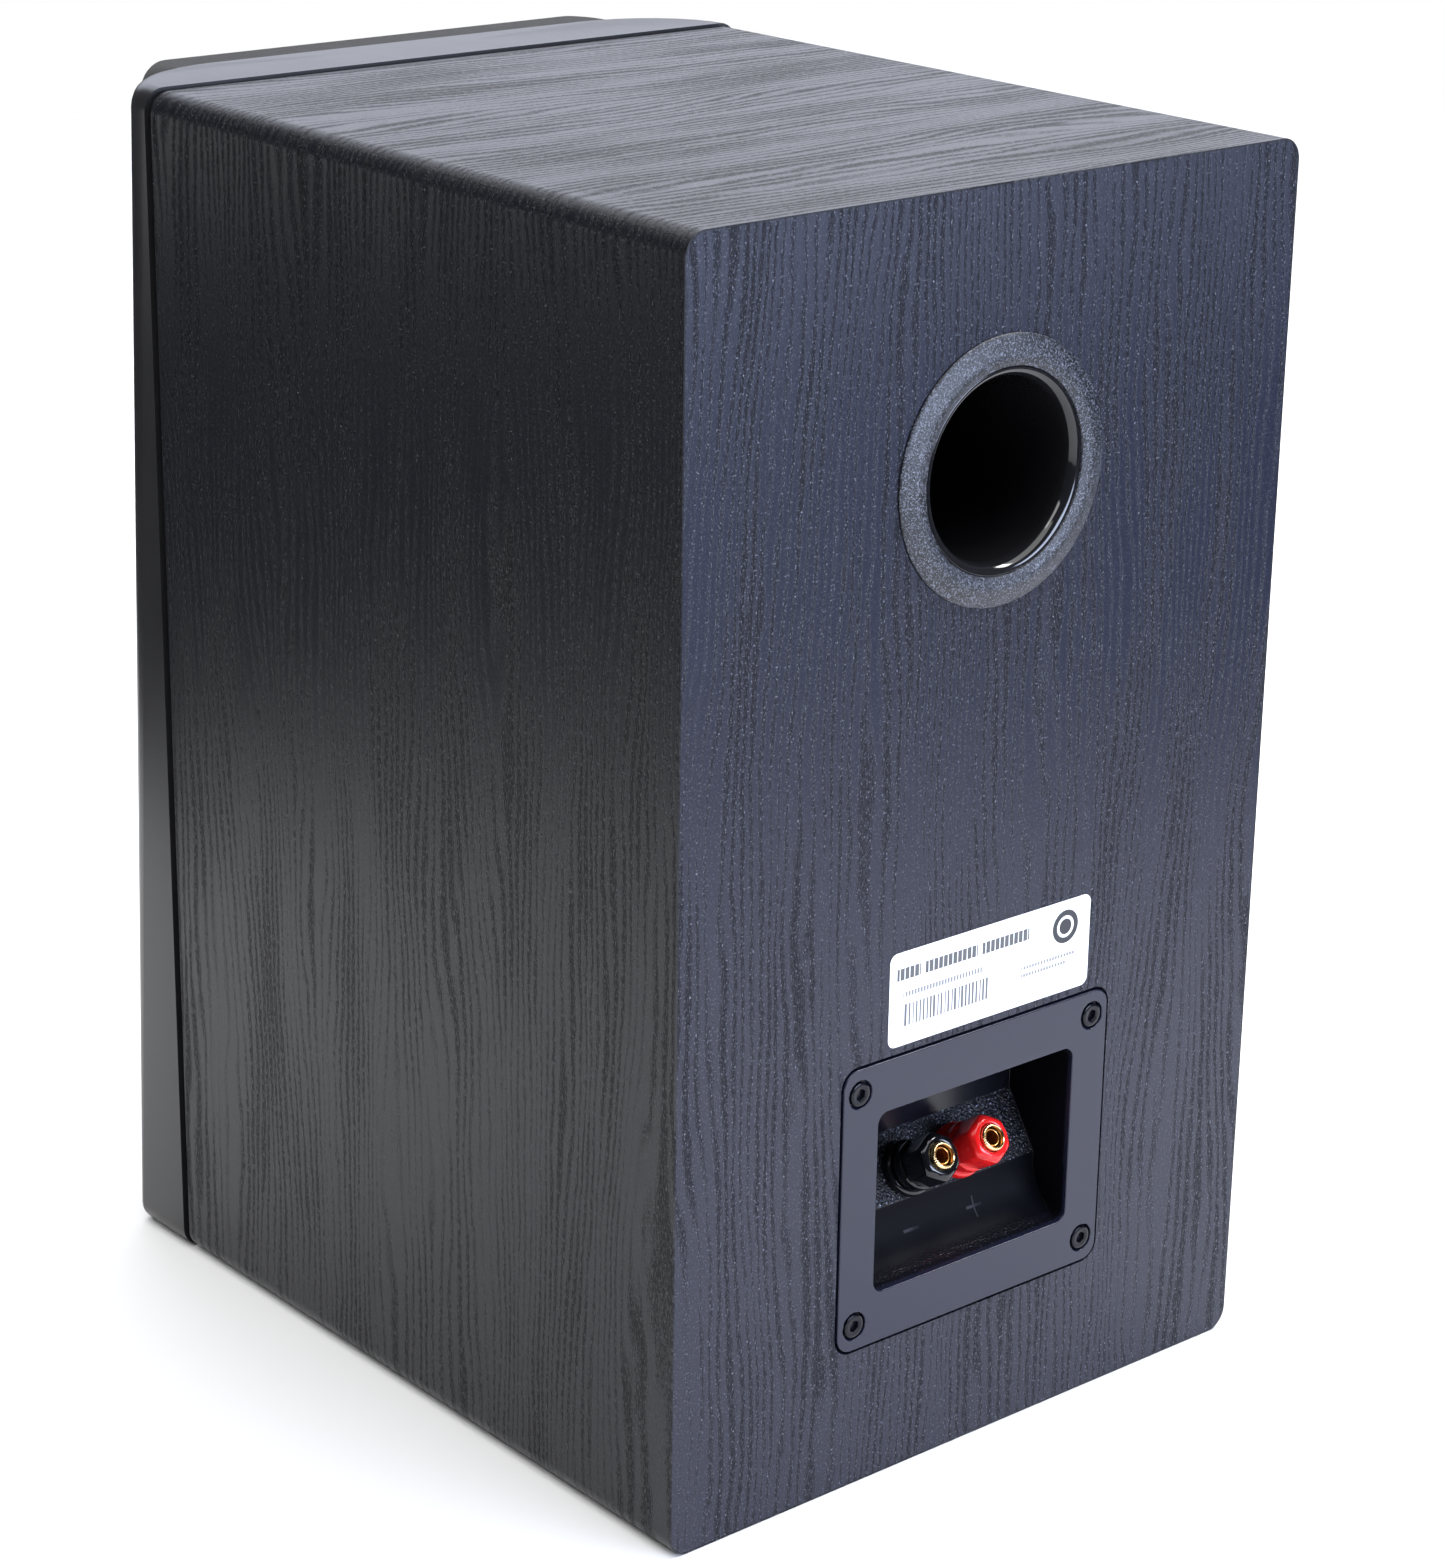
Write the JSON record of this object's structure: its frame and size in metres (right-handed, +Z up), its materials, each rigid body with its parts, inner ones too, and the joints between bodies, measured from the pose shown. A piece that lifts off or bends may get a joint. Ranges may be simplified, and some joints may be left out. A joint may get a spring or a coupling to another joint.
{
  "type": "bookshelf speaker",
  "caption": "Two-way rear-ported bookshelf loudspeaker: woodgrain cabinet, moulded fascia, pull-off cloth grille, round port and tilted binding posts in a recessed cup.",
  "frame": {"origin": "centre of the base on the floor, midway between the grille's front and the port's rear rim", "axes": "+Z up, -Y out of the grille, +Y out of the terminals, +X to the side of the black binding post"},
  "size_m": [0.2166, 0.2828, 0.3588],
  "materials": {
    "vinyl_wood": "satin woodgrain vinyl over fibreboard",
    "fibreboard": "raw medium-density fibreboard",
    "moulded_black": "satin moulded plastic",
    "throat_black": "gloss moulded plastic",
    "cloth_black": "acoustic cloth stretched on a moulded shell",
    "rubber_black": "satin rubber",
    "cup_black": "satin plastic with a leather-grain ledge",
    "cone_black": "mineral-filled polypropylene",
    "steel_black": "black painted steel",
    "steel_plain": "zinc-plated steel",
    "ferrite": "sintered ceramic magnet",
    "gilt": "gold-plated brass",
    "post_red": "glossy translucent acrylic",
    "post_black": "glossy acrylic",
    "copper": "lacquered copper wire",
    "spider_cloth": "resin-dipped cotton",
    "circuit": "glass-fibre circuit board",
    "capacitor_film": "film wrap",
    "cement": "ceramic cement body",
    "wadding": "polyester wadding"
  },
  "bodies": {
    "cabinet": {"baffle_board": "fibreboard", "black_post_collar": "post_black", "black_post_nut": "steel_plain", "black_post_stud": "gilt", "bottom_panel": "vinyl_wood", "capacitor": "capacitor_film", "cross_brace": "fibreboard", "crossover_board": "circuit", "damping_pad_left": "wadding", "damping_pad_right": "wadding", "front_fascia": "moulded_black", "grille_cup_1": "rubber_black", "grille_cup_2": "rubber_black", "grille_cup_3": "rubber_black", "grille_cup_4": "rubber_black", "input_lead_black": "rubber_black", "input_lead_red": "post_red", "left_side_panel": "vinyl_wood", "port_flange": "moulded_black", "port_tube": "throat_black", "rear_panel": "vinyl_wood", "red_post_collar": "post_red", "red_post_nut": "steel_plain", "red_post_stud": "gilt", "resistor": "cement", "right_side_panel": "vinyl_wood", "terminal_cup": "cup_black", "terminal_gasket": "rubber_black", "terminal_screw_1": "steel_black", "terminal_screw_2": "steel_black", "terminal_screw_3": "steel_black", "terminal_screw_4": "steel_black", "top_panel": "vinyl_wood", "tweeter_back_plate": "steel_plain", "tweeter_faceplate": "moulded_black", "tweeter_inductor": "copper", "tweeter_lead": "rubber_black", "tweeter_magnet": "ferrite", "tweeter_rear_chamber": "moulded_black", "tweeter_top_plate": "steel_plain", "woofer_back_plate": "steel_plain", "woofer_basket": "steel_black", "woofer_inductor": "copper", "woofer_lead": "rubber_black", "woofer_magnet": "ferrite", "woofer_spider": "spider_cloth", "woofer_surround": "rubber_black", "woofer_top_plate": "steel_plain"},
    "grille": {"grille_cloth": "cloth_black", "grille_frame": "moulded_black"},
    "woofer_moving": {"woofer_cone": "cone_black", "woofer_dust_cap": "cone_black", "woofer_voice_coil": "copper"},
    "tweeter_moving": {"tweeter_dome": "cloth_black"},
    "black_washer": {"black_post_washer": "gilt"},
    "black_cap": {"black_post_cap": "post_black", "black_post_sleeve": "gilt"},
    "red_washer": {"red_post_washer": "gilt"},
    "red_cap": {"red_post_cap": "post_red", "red_post_sleeve": "gilt"}
  },
  "joints": [
    {"name": "grille_slide", "type": "slide", "parent": "cabinet", "child": "grille", "axis": [0, -1, 0], "range_m": [0, 0.04]},
    {"name": "woofer_cone_slide", "type": "slide", "parent": "cabinet", "child": "woofer_moving", "axis": [0, -1, 0], "range_m": [-0.004, 0.004], "stiffness_N_per_m": 1000, "deforming": ["woofer_surround", "woofer_spider"]},
    {"name": "tweeter_dome_slide", "type": "slide", "parent": "cabinet", "child": "tweeter_moving", "axis": [0, -1, 0], "range_m": [-0.0004, 0.0004], "stiffness_N_per_m": 400},
    {"name": "black_cap_lift", "type": "slide", "parent": "cabinet", "child": "black_washer", "axis": [0, 0.8387, 0.5446], "range_m": [0, 0.004]},
    {"name": "black_cap_turn", "type": "hinge", "parent": "black_washer", "child": "black_cap", "pos_m": [0.0095, 0.12165, 0.0795], "axis": [0, 0.8387, 0.5446], "range_deg": [0, 1800]},
    {"name": "red_cap_lift", "type": "slide", "parent": "cabinet", "child": "red_washer", "axis": [0, 0.8387, 0.5446], "range_m": [0, 0.004]},
    {"name": "red_cap_turn", "type": "hinge", "parent": "red_washer", "child": "red_cap", "pos_m": [-0.0095, 0.12165, 0.0795], "axis": [0, 0.8387, 0.5446], "range_deg": [0, 1800]}
  ],
  "couplings": [
    {"joint": "black_cap_lift", "follows": "black_cap_turn", "m_per_rad": 0.00012732},
    {"joint": "red_cap_lift", "follows": "red_cap_turn", "m_per_rad": 0.00012732}
  ]
}
